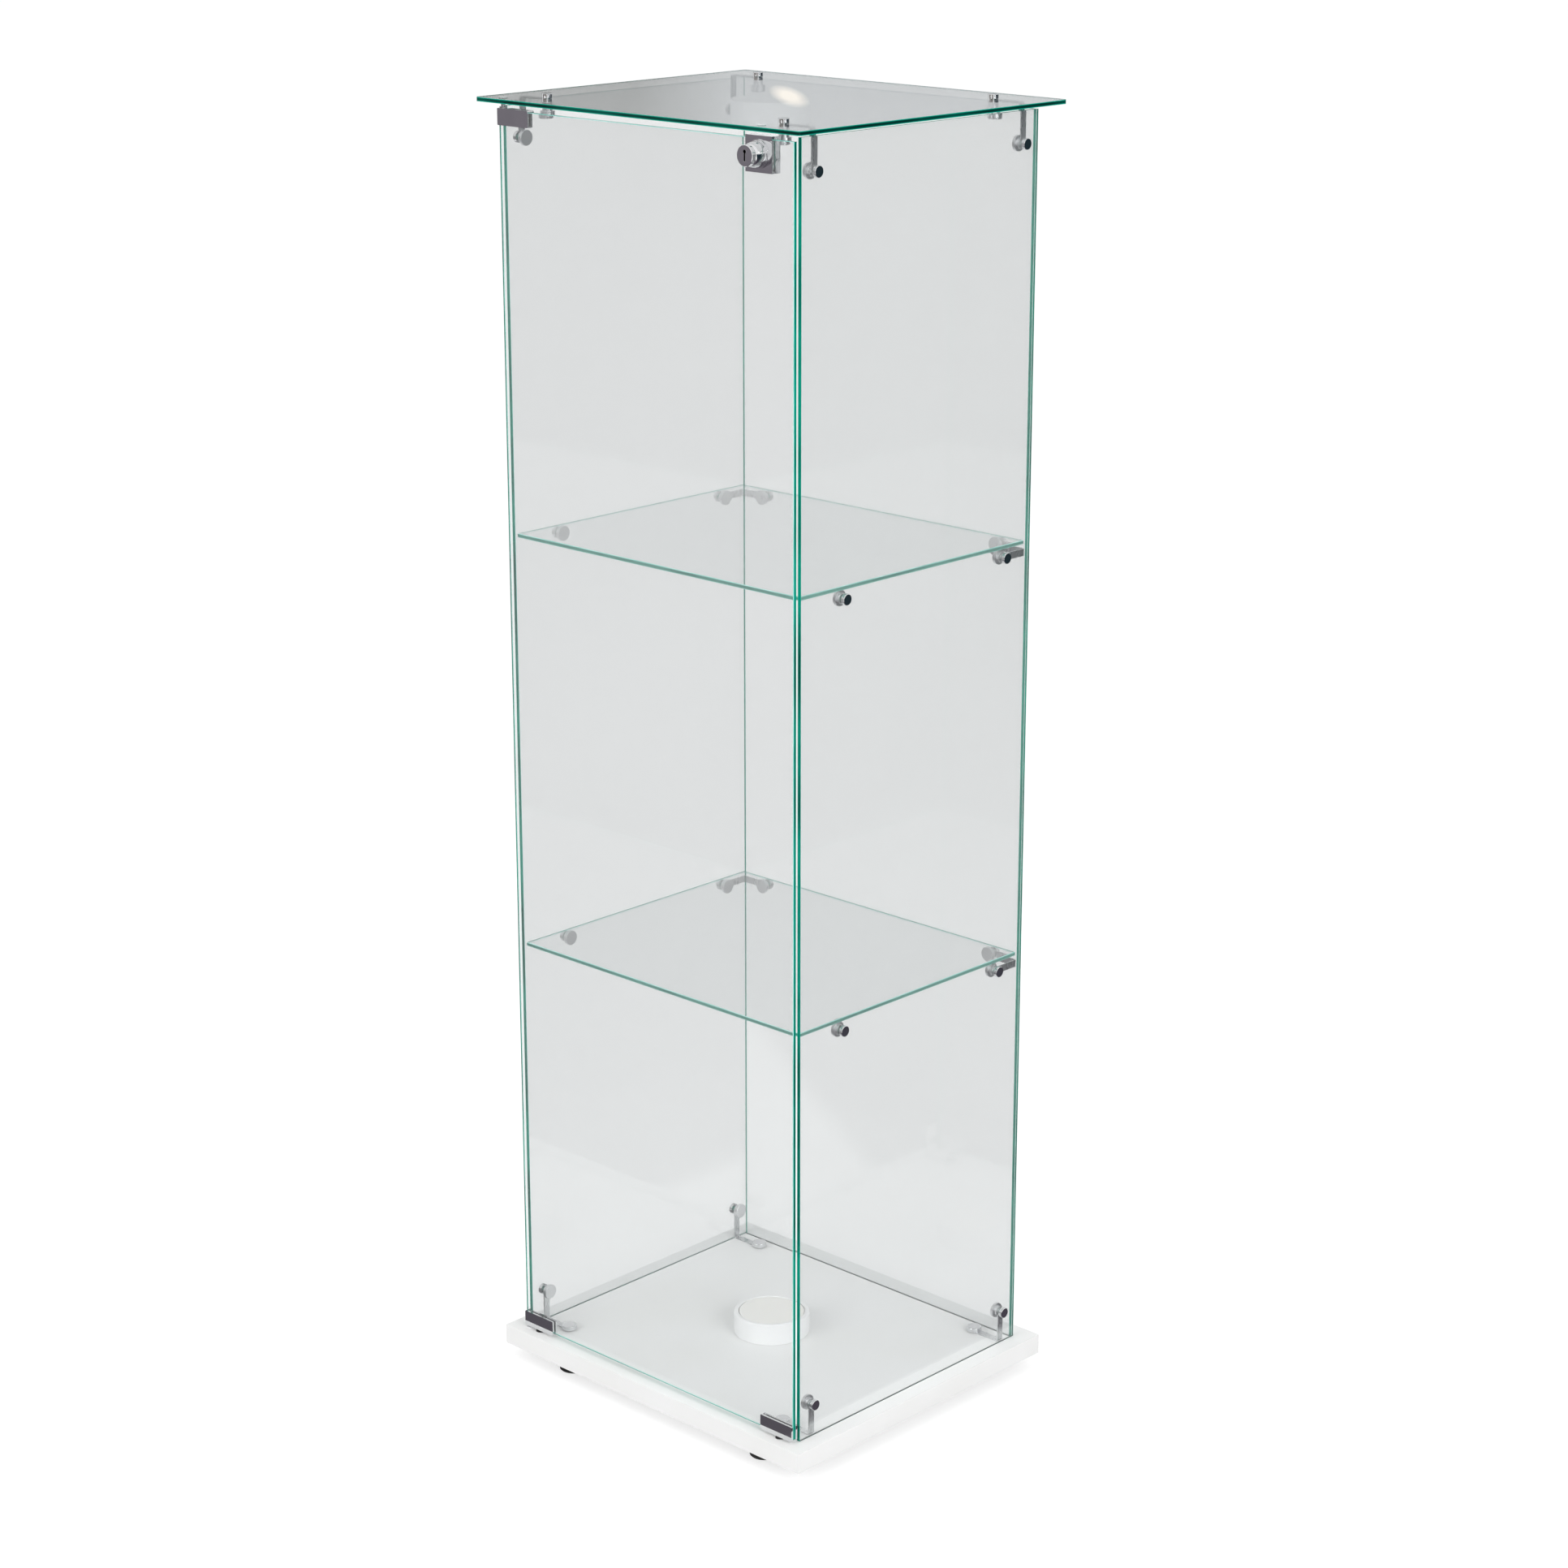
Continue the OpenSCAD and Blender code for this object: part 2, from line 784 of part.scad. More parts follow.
// Front plate, filler that sits in the notch of the glass, and the bridge over the glass's edge
module lock_case() {
  filler_w = notch_w - 2 * bolt_play;
  filler_h = notch_h - bolt_play;
  top = lock_plate / 2;
  glass_top = top - lock_rise;
  color("silver") at_lock() difference() {
    union() {
      translate([-lock_plate / 2, lock_front_y, -lock_plate / 2]) {
        cube([lock_plate, lock_plate_t, lock_plate]);
      }
      translate([-lock_plate / 2, door_y - eps, glass_top]) {
        cube([lock_plate, glass_t + eps, lock_rise]);
      }
      translate([-filler_w / 2, door_rear_y, glass_top - filler_h]) rotate([90, 0, 0]) {
        linear_extrude(glass_t + eps) {
          translate([0, notch_r]) square([filler_w, filler_h - notch_r + eps / 2]);
          rounded_rect(filler_w, 3 * notch_r, notch_r);
        }
      }
    }
    translate([-channel_left, door_y, glass_top - filler_h + channel_floor]) {
      cube([channel_left + channel_right, glass_t + eps, filler_h - channel_floor]);
    }
    at_case_screws(door_rear_y - case_screw_depth, case_screw_depth + eps, case_screw_d + 2 * bolt_play);
    along_y(lock_front_y - eps, lock_plate_t + 2 * eps, barrel_bore);
    translate([0, door_mid_y, 0]) cylinder(h = lock_plate, d = bolt_d + 2 * bolt_play);
  }
}

module lock_back_plate() {
  color("silver") at_lock() difference() {
    translate([-lock_plate / 2, door_rear_y, -lock_plate / 2]) cube([lock_plate, lock_back_t, lock_plate]);
    at_case_screws(door_rear_y - eps, lock_back_t + 2 * eps, case_screw_d + 2 * bolt_play);
    at_case_screws(lock_back_y - case_screw_head_h, case_screw_head_h + eps, case_screw_sink_d);
  }
}

// Screws through the back plate into the case's filler
module lock_case_screws() {
  len = lock_back_t + case_screw_depth - 0.4;
  color("gray") at_lock() {
    at_case_screws(lock_back_y - len, len, case_screw_d);
    at_case_screws(lock_back_y - case_screw_head_h, case_screw_head_h, case_screw_head_d);
  }
}

// Domed collar around the cylinder, turned about the lock's axis
module lock_collar() {
  ring_r = collar_d / 2;
  step_r = collar_step_d / 2;
  dome_r = step_r - collar_lip;
  mouth_r = collar_mouth_d / 2;
  dome_h = collar_h - collar_step_t;
  steps = 12;
  arc = [for (i = [0:steps]) [
    mouth_r + (dome_r - mouth_r) * cos(90 * i / steps),
    collar_step_t + dome_h * sin(90 * i / steps)
  ]];
  color("silver") at_lock() translate([0, lock_front_y, 0]) rotate([90, 0, 0]) difference() {
    rotate_extrude() polygon(concat(
      [[barrel_bore / 2, 0], [ring_r, 0], [ring_r, collar_ring_t]],
      [[step_r, collar_ring_t], [step_r, collar_step_t]],
      arc,
      [[cylinder_neck_d / 2 + move_gap, collar_h], [cylinder_neck_d / 2 + move_gap, collar_h - collar_throat],
       [barrel_bore / 2, collar_h - collar_throat]]
    ));
  }
}

// Keyed cylinder: head, neck, barrel in the front plate, and the crank pin behind it
module lock_cylinder() {
  neck_len = cylinder_reach - cylinder_head_t;
  barrel_len = collar_h - collar_throat - move_gap;
  color("silver") at_lock() difference() {
    union() {
      translate([0, lock_front_y - cylinder_reach, 0]) rotate([-90, 0, 0]) rotate_extrude() polygon([
        [0, 0], [cylinder_d / 2 - head_edge, 0], [cylinder_d / 2, head_edge],
        [cylinder_d / 2, cylinder_head_t], [0, cylinder_head_t]
      ]);
      along_y(lock_front_y - neck_len, neck_len + lock_plate_t, cylinder_neck_d);
      along_y(lock_front_y - barrel_len, barrel_len + lock_plate_t, barrel_d);
      translate([crank_r * cos(45), 0, -crank_r * sin(45)]) {
        along_y(door_y - eps, glass_t - move_gap + eps, crank_pin_d);
      }
    }
    translate([0, 0, key_hole_z]) {
      along_y(lock_front_y - cylinder_reach - eps, key_slot_depth + eps, key_hole_d);
      translate([-key_slot_w / 2, lock_front_y - cylinder_reach - eps, -key_slot_h]) {
        cube([key_slot_w, key_slot_depth + eps, key_slot_h]);
      }
    }
  }
}

// Sliding bolt: slotted plate in the channel with a round end that rises into the top glass
module lock_bolt() {
  pin_z = bolt_pin_z - lock_z;
  color("silver") at_lock() difference() {
    union() {
      translate([-bolt_slide_left, door_y + move_gap, pin_z - bolt_slide_h / 2]) {
        cube([bolt_slide_w, bolt_slide_t, bolt_slide_h]);
      }
      translate([0, door_mid_y, pin_z]) cylinder(h = bolt_tip_z - bolt_pin_z, d = bolt_neck_d);
      translate([0, door_mid_y, pin_z + bolt_slide_h / 2]) {
        cylinder(h = bolt_tip_z - bolt_pin_z - bolt_slide_h / 2, d = bolt_d);
      }
    }
    translate([crank_r * cos(45) - bolt_slot_h / 2, door_y, pin_z - bolt_slot_h / 2]) {
      cube([crank_r - crank_r * cos(45) + bolt_slot_h, glass_t, bolt_slot_h]);
    }
  }
}

// Bushing in the top glass that takes the bolt
module lock_keeper() {
  color([0.85, 0.87, 0.88]) translate([lock_x, door_mid_y, lid_z]) difference() {
    cylinder(h = glass_t, d = keeper_d);
    translate([0, 0, -eps]) cylinder(h = glass_t + 2 * eps, d = keeper_bore);
  }
}

// Push lights, drawn standing on z = 0 with the lens up

module light_housing() {
  edge = 1.5;
  color([0.95, 0.95, 0.96]) difference() {
    rotate_extrude() polygon([
      [0, 0], [light_d / 2, 0], [light_d / 2, light_h - edge], [light_d / 2 - edge, light_h], [0, light_h]
    ]);
    translate([0, 0, -eps]) cylinder(h = lens_seat_z + lens_flange + eps, d = light_d - 2 * light_wall);
    cylinder(h = light_h + eps, d = lens_d + 2 * lens_gap);
  }
}

// The lens's flange is held under the housing's roof, and the lens moves down when it is pressed
module light_lens() {
  color([0.92, 0.92, 0.9, 0.9]) rotate_extrude() polygon([
    [0, lens_floor_z], [lens_d / 2 + lens_gap + lens_lip, lens_floor_z],
    [lens_d / 2 + lens_gap + lens_lip, lens_seat_z + lens_flange - lens_gap],
    [lens_d / 2, lens_seat_z + lens_flange - lens_gap],
    [lens_d / 2, light_h - lens_gap - 0.6], [lens_d / 2 - 1, light_h - lens_gap], [0, light_h - lens_gap]
  ]);
}

module light_base() {
  color([0.93, 0.93, 0.94]) cylinder(h = light_base_t, d = light_d - 2 * light_wall - 0.2);
}

module light_cells() {
  color([0.75, 0.6, 0.25]) for (i = [-1, 0, 1]) {
    translate([-cell_l / 2, i * cell_pitch, light_base_t + cell_d / 2]) {
      rotate([0, 90, 0]) cylinder(h = cell_l, d = cell_d);
    }
  }
}

module light_board() {
  z = light_base_t + cell_d;
  color([0.1, 0.35, 0.2]) translate([0, 0, z]) {
    cylinder(h = board_t, d = board_d);
    for (i = [0:led_count - 1]) {
      rotate([0, 0, i * 360 / led_count]) translate([led_ring_d / 2, 0, board_t]) {
        cylinder(h = led_h, d = led_d);
      }
    }
  }
}

module lower_light() {
  translate([0, 0, deck_z]) children();
}

module upper_light() {
  translate([0, 0, lid_z]) mirror([0, 0, 1]) children();
}

module lower_light_housing() {
  lower_light() light_housing();
}

module lower_light_lens() {
  lower_light() light_lens();
}

module lower_light_base() {
  lower_light() light_base();
}

module lower_light_board() {
  lower_light() light_board();
}

module lower_light_cells() {
  lower_light() light_cells();
}

module upper_light_housing() {
  upper_light() light_housing();
}

module upper_light_lens() {
  upper_light() light_lens();
}

module upper_light_base() {
  upper_light() light_base();
}

module upper_light_board() {
  upper_light() light_board();
}

module upper_light_cells() {
  upper_light() light_cells();
}

base_board();
feet();
foot_screws();
left_side_panel();
right_side_panel();
back_panel();
top_panel();
lower_shelf();
upper_shelf();
top_bracket_front_left();
top_bracket_front_right();
top_bracket_rear_left();
top_bracket_rear_right();
base_bracket_front_left();
base_bracket_front_right();
base_bracket_rear_left();
base_bracket_rear_right();
lower_shelf_bracket_left();
lower_shelf_bracket_right();
upper_shelf_bracket_left();
upper_shelf_bracket_right();
top_panel_bolts();
top_panel_nuts();
corner_bolts();
corner_nuts();
shelf_bolts();
shelf_nuts();
base_bracket_screws();
door_panel();
top_hinge_clamp();
bottom_hinge_clamp();
strike_clamp();
clamp_grub_screws();
top_pivot_pin();
bottom_pivot_pin();
top_pivot_bushing();
bottom_pivot_bushing();
catch_magnet();
hinge_rest_pad();
lock_case();
lock_back_plate();
lock_case_screws();
lock_collar();
lock_cylinder();
lock_bolt();
lock_keeper();
lower_light_housing();
lower_light_lens();
lower_light_base();
lower_light_board();
lower_light_cells();
upper_light_housing();
upper_light_lens();
upper_light_base();
upper_light_board();
upper_light_cells();
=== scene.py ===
import json
import math

import bmesh
import bpy
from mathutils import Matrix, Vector

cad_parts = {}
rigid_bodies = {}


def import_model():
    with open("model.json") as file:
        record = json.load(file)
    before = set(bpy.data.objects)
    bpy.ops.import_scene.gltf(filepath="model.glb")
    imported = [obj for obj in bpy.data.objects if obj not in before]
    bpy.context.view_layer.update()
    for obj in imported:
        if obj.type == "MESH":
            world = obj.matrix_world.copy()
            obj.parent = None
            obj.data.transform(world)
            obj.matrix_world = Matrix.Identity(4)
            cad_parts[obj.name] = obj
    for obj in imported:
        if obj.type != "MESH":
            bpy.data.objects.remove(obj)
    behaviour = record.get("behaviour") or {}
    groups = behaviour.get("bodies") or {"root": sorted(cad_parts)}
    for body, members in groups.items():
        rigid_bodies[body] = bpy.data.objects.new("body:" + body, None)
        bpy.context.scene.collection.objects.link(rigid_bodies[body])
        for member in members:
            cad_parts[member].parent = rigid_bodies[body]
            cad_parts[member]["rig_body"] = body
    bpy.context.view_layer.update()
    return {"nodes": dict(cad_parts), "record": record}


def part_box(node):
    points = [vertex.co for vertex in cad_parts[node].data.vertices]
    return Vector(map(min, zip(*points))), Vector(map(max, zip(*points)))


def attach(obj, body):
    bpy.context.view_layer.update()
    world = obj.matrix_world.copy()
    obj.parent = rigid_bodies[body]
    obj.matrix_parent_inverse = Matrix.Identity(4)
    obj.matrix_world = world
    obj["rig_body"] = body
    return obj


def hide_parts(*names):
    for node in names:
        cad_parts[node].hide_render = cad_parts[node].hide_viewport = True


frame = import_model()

mm = 0.001
weldDistance = 1e-6  # metres between points that are one
slotOf = {part["node"]: part["material_slot"] for part in frame["record"]["subparts"]}


def linear(hexColour):
    # sRGB hex to linear, as shader sockets expect
    parts = [int(hexColour[i:i + 2], 16) / 255 for i in (1, 3, 5)]
    return [p / 12.92 if p <= 0.04045 else ((p + 0.055) / 1.055) ** 2.4 for p in parts] + [1.0]


def addNode(tree, kind, values=None, links=None, **settings):
    node = tree.nodes.new(kind)
    for name, value in settings.items():
        setattr(node, name, value)
    for name, value in (values or {}).items():
        node.inputs[name].default_value = value
    for name, source in (links or {}).items():
        tree.links.new(source, node.inputs[name])
    return node


# Materials

def bareMaterial(name):
    material = bpy.data.materials.new(name)
    material.use_nodes = True
    tree = material.node_tree
    tree.nodes.clear()
    addNode(tree, "ShaderNodeOutputMaterial", name="Output")
    return material, tree, addNode(tree, "ShaderNodeTexCoord").outputs["Object"]


def setSurface(tree, source):
    tree.links.new(source, tree.nodes["Output"].inputs["Surface"])


def newMaterial(name, **values):
    material, tree, place = bareMaterial(name)
    shader = addNode(tree, "ShaderNodeBsdfPrincipled", values)
    setSurface(tree, shader.outputs["BSDF"])
    return material, tree, shader, place


def noiseAt(tree, place, sizeMm, detail=2.0, stretch=(1, 1, 1)):
    # Noise whose blotches are about sizeMm across, drawn out along an axis by stretch
    mapping = addNode(tree, "ShaderNodeMapping", {"Scale": [1 / s for s in stretch]}, {"Vector": place})
    noise = addNode(tree, "ShaderNodeTexNoise", {"Scale": 1 / (sizeMm * mm), "Detail": detail},
                    {"Vector": mapping.outputs["Vector"]})
    return noise.outputs["Fac"]


def rangeOf(tree, source, low, high, fromLow=0.3, fromHigh=0.7):
    values = {"From Min": fromLow, "From Max": fromHigh, "To Min": low, "To Max": high}
    return addNode(tree, "ShaderNodeMapRange", values, {"Value": source}).outputs["Result"]


def colourBetween(tree, source, stops):
    ramp = addNode(tree, "ShaderNodeValToRGB", links={"Fac": source})
    line = ramp.color_ramp
    while len(line.elements) < len(stops):
        line.elements.new(1.0)
    for element, (at, colour) in zip(line.elements, stops):
        element.position = at
        element.color = linear(colour)
    return ramp.outputs["Color"]


def mottle(tree, shader, source, tones, low=0.3, high=0.7):
    # The colour drifts between two near tones
    tone = colourBetween(tree, source, [(low, tones[0]), (high, tones[1])])
    tree.links.new(tone, shader.inputs["Base Color"])


def roughen(tree, shader, source, low, high):
    tree.links.new(rangeOf(tree, source, low, high), shader.inputs["Roughness"])


def bumpFrom(tree, shader, source, depthMm, strength):
    bump = addNode(tree, "ShaderNodeBump", {"Strength": strength, "Distance": depthMm * mm},
                   {"Height": source})
    tree.links.new(bump.outputs["Normal"], shader.inputs["Normal"])


glassLook = {"tint": "#f2f3f3", "deepTint": "#f1f2f2", "clear": 0.95, "ior": 1.52, "throughTint": "#feffff"}


def floatGlass(name):
    # Float glass, fire polished: mirror-smooth, with a faint grey veil over what is behind it
    material, tree, shader, place = newMaterial(name, **{
        "Roughness": 0.0, "IOR": glassLook["ior"], "Transmission Weight": glassLook["clear"]})
    mottle(tree, shader, noiseAt(tree, place, 260, 1.0), (glassLook["tint"], glassLook["deepTint"]))
    # Lamps and bounced light pass straight through, so the inside of the case is lit
    path = addNode(tree, "ShaderNodeLightPath")
    either = addNode(tree, "ShaderNodeMath", operation="MAXIMUM",
                     links={0: path.outputs["Is Shadow Ray"], 1: path.outputs["Is Diffuse Ray"]})
    passing = addNode(tree, "ShaderNodeBsdfTransparent", {"Color": linear(glassLook["throughTint"])})
    mixed = addNode(tree, "ShaderNodeMixShader", links={
        0: either.outputs[0], 1: shader.outputs["BSDF"], 2: passing.outputs["BSDF"]})
    setSurface(tree, mixed.outputs[0])
    return material


def glassEdge(name, deep, mid, rim):
    # Polished edge of float glass: the sheet's own green, with a painted highlight that pales it towards both
    # rims, so it is deepest midway through it
    material, tree, shader, place = newMaterial(name, **{
        "Roughness": 0.08, "IOR": glassLook["ior"], "Specular IOR Level": 0.18})
    core = colourBetween(tree, noiseAt(tree, place, 70, 2.0), [(0.36, deep), (0.64, mid)])
    across = addNode(tree, "ShaderNodeAttribute", attribute_name="rim").outputs["Fac"]
    rimHighlightShare = addNode(tree, "ShaderNodeMath", operation="ABSOLUTE", links={0: across}).outputs[0]
    # Painted highlight: the colour goes paler towards either rim of the edge face
    colour = addNode(tree, "ShaderNodeMix", {"B": linear(rim)}, {
        "Factor": rangeOf(tree, rimHighlightShare, 0, 1, 0.45, 1.0), "A": core}, data_type="RGBA")
    tree.links.new(colour.outputs["Result"], shader.inputs["Base Color"])
    return material


def glassArris(name):
    # Ground arris: the fine matt chamfer along a sheet's rim, which catches light as a pale cyan line
    material, tree, shader, place = newMaterial(name, **{"IOR": glassLook["ior"]})
    mottle(tree, shader, noiseAt(tree, place, 60), ("#86cfc4", "#b5e5df"), 0.35, 0.65)
    roughen(tree, shader, noiseAt(tree, place, 1.2, 3.0), 0.3, 0.5)
    return material


def whiteLaminate():
    # Melamine-faced board: even satin white with a fine pebbled press grain
    material, tree, shader, place = newMaterial("white melamine laminate", **{
        "IOR": 1.5, "Specular IOR Level": 0.3})
    mottle(tree, shader, noiseAt(tree, place, 90), ("#eeeeed", "#f1f1f1"), 0.35, 0.65)
    pebble = noiseAt(tree, place, 0.9, 3.0)
    roughen(tree, shader, pebble, 0.38, 0.5)
    bumpFrom(tree, shader, pebble, 0.03, 0.5)
    return material


def chrome(name, tones, roughLow, roughHigh):
    # Chrome plate over steel or zinc: a mirror with faint wiping marks and a slight waviness, sharp where it
    # is polished and blurred where it is satin
    material, tree, shader, place = newMaterial(name, **{"Metallic": 1.0})
    mottle(tree, shader, noiseAt(tree, place, 25), tones)
    roughen(tree, shader, noiseAt(tree, place, 3.0, 3.0, (1, 1, 6)), roughLow, roughHigh)
    bumpFrom(tree, shader, noiseAt(tree, place, 6.0, 0.0), 0.004, 0.35)
    return material


def turnedSteel(name, tones):
    # Turned steel, bright or zinc plated: fine lathe rings about the piece blur what it mirrors
    material, tree, shader, place = newMaterial(name, **{"Metallic": 1.0})
    rings = noiseAt(tree, place, 0.4, 2.0, (6, 6, 1))
    mottle(tree, shader, rings, tones)
    roughen(tree, shader, rings, 0.22, 0.36)
    return material


def keywayPaintedShade():
    # Keyway: painted shade. The slot's inner faces are coloured near-black to stand for the shade deep inside
    # it, so the slot reads as a dark hole with a dull glint
    material, tree, shader, place = newMaterial("keyway painted dark as shade", **{"Metallic": 0.5})
    shadeMottle = noiseAt(tree, place, 1.0, 3.0)
    mottle(tree, shader, shadeMottle, ("#0b0b0c", "#1f1c19"))
    roughen(tree, shader, shadeMottle, 0.45, 0.65)
    return material


def blackRubber(name, tones):
    # Moulded rubber: dull near-black with a fine spark-eroded grain
    material, tree, shader, place = newMaterial(name, **{"IOR": 1.52})
    grain = noiseAt(tree, place, 0.7, 3.0)
    mottle(tree, shader, grain, tones)
    roughen(tree, shader, grain, 0.6, 0.8)
    bumpFrom(tree, shader, grain, 0.05, 0.6)
    return material


def mouldedPlastic(name, tones, rough):
    # Injection-moulded plastic: smooth pale shell with the softest orange-peel
    material, tree, shader, place = newMaterial(name, **{"IOR": 1.54})
    mottle(tree, shader, noiseAt(tree, place, 30), tones)
    peel = noiseAt(tree, place, 1.4, 2.0)
    roughen(tree, shader, peel, rough - 0.05, rough + 0.05)
    bumpFrom(tree, shader, peel, 0.02, 0.4)
    return material


def frostedLens():
    # Frosted acrylic: milky, slightly warm, with a fine matt etch that scatters light
    material, tree, shader, place = newMaterial("frosted acrylic", **{
        "IOR": 1.49, "Subsurface Weight": 0.25, "Subsurface Radius": [0.004, 0.004, 0.0035],
        "Subsurface Scale": 1.0})
    mottle(tree, shader, noiseAt(tree, place, 20), ("#f2f0ec", "#f5f3ef"))
    etch = noiseAt(tree, place, 0.8, 3.0)
    roughen(tree, shader, etch, 0.42, 0.55)
    bumpFrom(tree, shader, etch, 0.03, 0.4)
    return material


def circuitBoard():
    # Solder resist over copper: deep green lacquer with slightly raised tracks
    material, tree, shader, place = newMaterial("solder resist", **{"Roughness": 0.3, "IOR": 1.5})
    tracks = addNode(tree, "ShaderNodeTexBrick", {
        "Scale": 1 / (9 * mm), "Mortar Size": 0.06, "Color1": [0, 0, 0, 1], "Color2": [0, 0, 0, 1],
        "Mortar": [1, 1, 1, 1]}, {"Vector": place}).outputs["Color"]
    mottle(tree, shader, tracks, ("#0f4f2a", "#1f7a45"), 0.0, 1.0)
    bumpFrom(tree, shader, tracks, 0.05, 0.5)
    return material


def cellWrap():
    # Shrink-wrapped cell: a thin glossy film in plain gold, slightly uneven, which glints along the cell
    material, tree, shader, place = newMaterial("cell wrap", **{"Metallic": 0.8, "Roughness": 0.25})
    film = noiseAt(tree, place, 5, 2.0)
    mottle(tree, shader, film, ("#a8873a", "#b8974a"))
    bumpFrom(tree, shader, film, 0.03, 0.4)
    return material


paneFace = floatGlass("float glass")
paneEdge = glassEdge("polished glass edge", "#00463a", "#008a74", "#1fa38d")
topEdge = glassEdge("polished glass edge of the top", "#00261f", "#004a3e", "#1fae97")
seamedEdge = glassEdge("seamed glass edge", "#1c7463", "#3a907f", "#5fb3a2")
# The shelves' edge is a paler copy of the glass edge, painted lighter to stand for the veil of the door glass
# it is seen through
shelfEdgeLightened = glassEdge("polished glass edge of the shelves", "#3f786c", "#558f82", "#7bb1a5")
paneArris = glassArris("ground glass arris")
finishes = {
    "white_laminate": whiteLaminate(),
    "black_rubber": blackRubber("moulded rubber", ("#121213", "#1b1b1c")),
    "magnet_black": blackRubber("black pad", ("#232324", "#2e2e30")),
    "zinc": turnedSteel("zinc plated steel", ("#a9abad", "#b6b8ba")),
    "bracket_chrome": chrome("satin chrome strip", ("#cdcfd1", "#d6d8d9"), 0.24, 0.34),
    "fitting_chrome": chrome("polished chrome pins", ("#dcdddf", "#e2e3e4"), 0.04, 0.07),
    "clamp_chrome": chrome("polished chrome clamps", ("#dcdddf", "#e2e3e4"), 0.04, 0.07),
    "lock_chrome": chrome("polished chrome lock", ("#dcdddf", "#e2e3e4"), 0.03, 0.06),
    "steel": turnedSteel("bright turned steel", ("#b4b5b7", "#c2c3c4")),
    "white_nylon": mouldedPlastic("moulded nylon", ("#dcdedf", "#e3e4e5"), 0.5),
    "light_plastic": mouldedPlastic("white ABS", ("#ededee", "#f0f0f0"), 0.34),
    "light_lens": frostedLens(),
    "circuit_board": circuitBoard(),
    "keyway": keywayPaintedShade(),
    "nut_satin": chrome("satin chrome nuts", ("#dddee0", "#e4e5e6"), 0.26, 0.36),
    "battery_cell": cellWrap(),
}
print("materials", len(bpy.data.materials))


# Pieces that take their shape from a CAD node, with softened rims

flatDegrees = 0.3  # faces that turn less than this become one
sharpDegrees = 50  # edges that turn more than this are rims


def mergedCopy(node):
    shape = bmesh.new()
    shape.from_mesh(frame["nodes"][node].data)
    bmesh.ops.remove_doubles(shape, verts=shape.verts, dist=weldDistance)
    bmesh.ops.dissolve_limit(shape, angle_limit=math.radians(flatDegrees), verts=shape.verts,
                             edges=shape.edges)
    return shape


def sharpEdges(shape):
    least = math.radians(sharpDegrees)
    return [e for e in shape.edges if len(e.link_faces) == 2 and e.calc_face_angle() > least]


def finishPiece(shape, name, node, materials, smoothDegrees=32):
    # Corner normals weighed by face area, so that a mirror finish stays true on flats beside a small bevel
    mesh = bpy.data.meshes.new(name)
    shape.normal_update()
    least, normals = math.cos(math.radians(smoothDegrees)), []
    weighed = {face: face.normal * face.calc_area() for face in shape.faces}
    for face in shape.faces:
        face.smooth = True
        for vert in face.verts:
            near = [other for other in vert.link_faces if other.normal.dot(face.normal) > least]
            normals.append(sum((weighed[other] for other in near), Vector()).normalized())
    shape.to_mesh(mesh)
    shape.free()
    mesh.normals_split_custom_set(normals)
    for material in materials:
        mesh.materials.append(material)
    piece = bpy.data.objects.new(name, mesh)
    bpy.context.scene.collection.objects.link(piece)
    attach(piece, frame["nodes"][node]["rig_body"])
    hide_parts(node)
    return piece


keyway = {"halfWidthMm": 1.75, "halfHeightMm": 5.2, "lipMm": 0.25, "deepMm": 8.3}


def inKeyway(face):
    # A face of the cylinder's slot, but for the lip in front and the faces that look back
    low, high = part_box("lock_cylinder")
    off = (face.calc_center_median() - (low + high) / 2) / mm
    deep = (face.calc_center_median().y - low.y) / mm
    near = abs(off.x) < keyway["halfWidthMm"] and abs(off.z) < keyway["halfHeightMm"]
    return near and keyway["lipMm"] < deep < keyway["deepMm"] and face.normal.y < 0.3


def softened(node, widthMm):
    shape = mergedCopy(node)
    bmesh.ops.bevel(shape, geom=sharpEdges(shape), offset=widthMm * mm, offset_type="OFFSET", segments=2,
                    profile=0.5, affect="EDGES", clamp_overlap=True)
    materials = [finishes[slotOf[node]]]
    # The slot's inner faces take the keyway material, whose near-black colour is painted shade
    if node == "lock_cylinder":
        materials.append(finishes["keyway"])
        for face in shape.faces:
            face.material_index = int(inKeyway(face))
    return finishPiece(shape, node + "_finished", node, materials)


paneSizes = {"arrisMm": 0.5, "airMm": 0.03, "flat": 0.99, "smoothDegrees": 20}
paneSlots = {"face": 0, "edge": 1, "arris": 2}
paneNodes = ["left_side_panel", "right_side_panel", "back_panel", "top_panel", "lower_shelf", "upper_shelf",
             "door_panel"]


